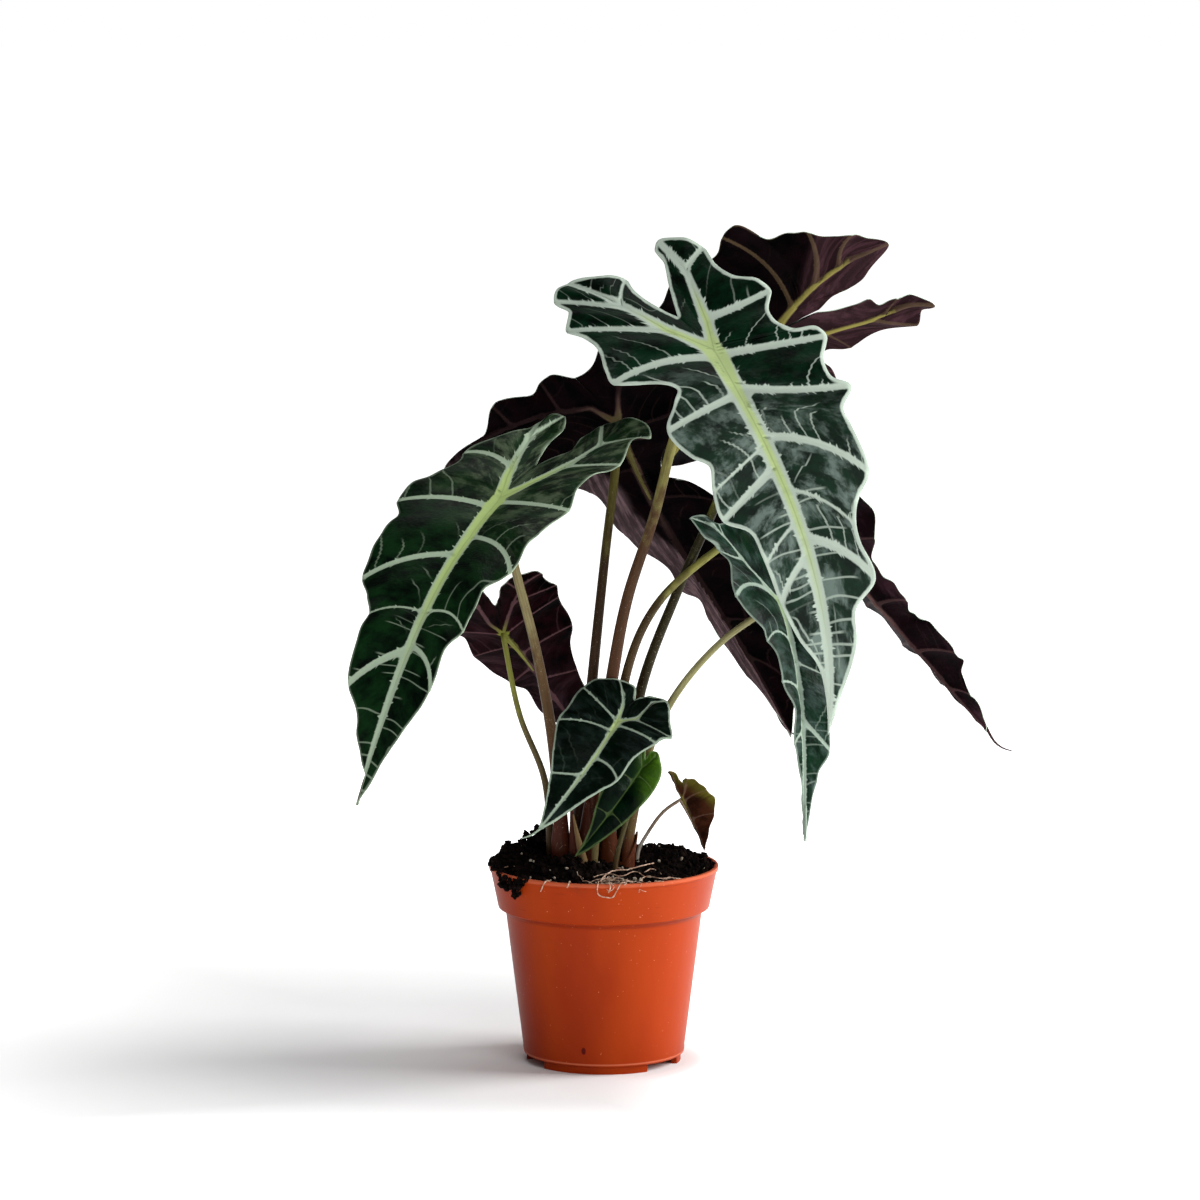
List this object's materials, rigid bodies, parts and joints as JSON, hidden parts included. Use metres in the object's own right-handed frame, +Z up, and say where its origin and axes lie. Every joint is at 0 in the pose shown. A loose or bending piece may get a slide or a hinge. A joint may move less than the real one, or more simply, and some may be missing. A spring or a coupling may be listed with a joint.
{
  "type": "potted alocasia polly",
  "caption": "Potted alocasia polly: arrow-shaped, wavy-edged leaves with pale veins on slender stems, growing from soil in a plain round nursery pot.",
  "frame": {"origin": "middle of the pot's underside, in the plane of its feet", "axes": "+Z up; -Y is the side that the picture shows, with the two large green leaves towards it; +X is to the right in the picture"},
  "size_m": [0.3346, 0.2728, 0.4381],
  "materials": {
    "pot": "satin",
    "soil": "loose potting mix",
    "leaf_green": "satin, pale veins",
    "leaf_burgundy": "satin underside",
    "young_leaf_green": "satin",
    "young_leaf_red": "satin",
    "petiole": "satin"
  },
  "bodies": {
    "root": {"pot": "pot", "soil": "soil", "blade_front_tall": "leaf_green", "petiole_front_tall": "petiole", "blade_front_left": "leaf_green", "petiole_front_left": "petiole", "blade_back_top": "leaf_burgundy", "petiole_back_top": "petiole", "blade_back_middle": "leaf_burgundy", "petiole_back_middle": "petiole", "blade_back_right": "leaf_burgundy", "petiole_back_right": "petiole", "blade_right_low": "leaf_green", "petiole_right_low": "petiole", "blade_back_left_low": "leaf_burgundy", "petiole_back_left_low": "petiole", "blade_front_small": "leaf_green", "petiole_front_small": "petiole", "blade_young_green": "young_leaf_green", "petiole_young_green": "petiole", "blade_young_red": "young_leaf_red", "petiole_young_red": "petiole"}
  },
  "joints": []
}
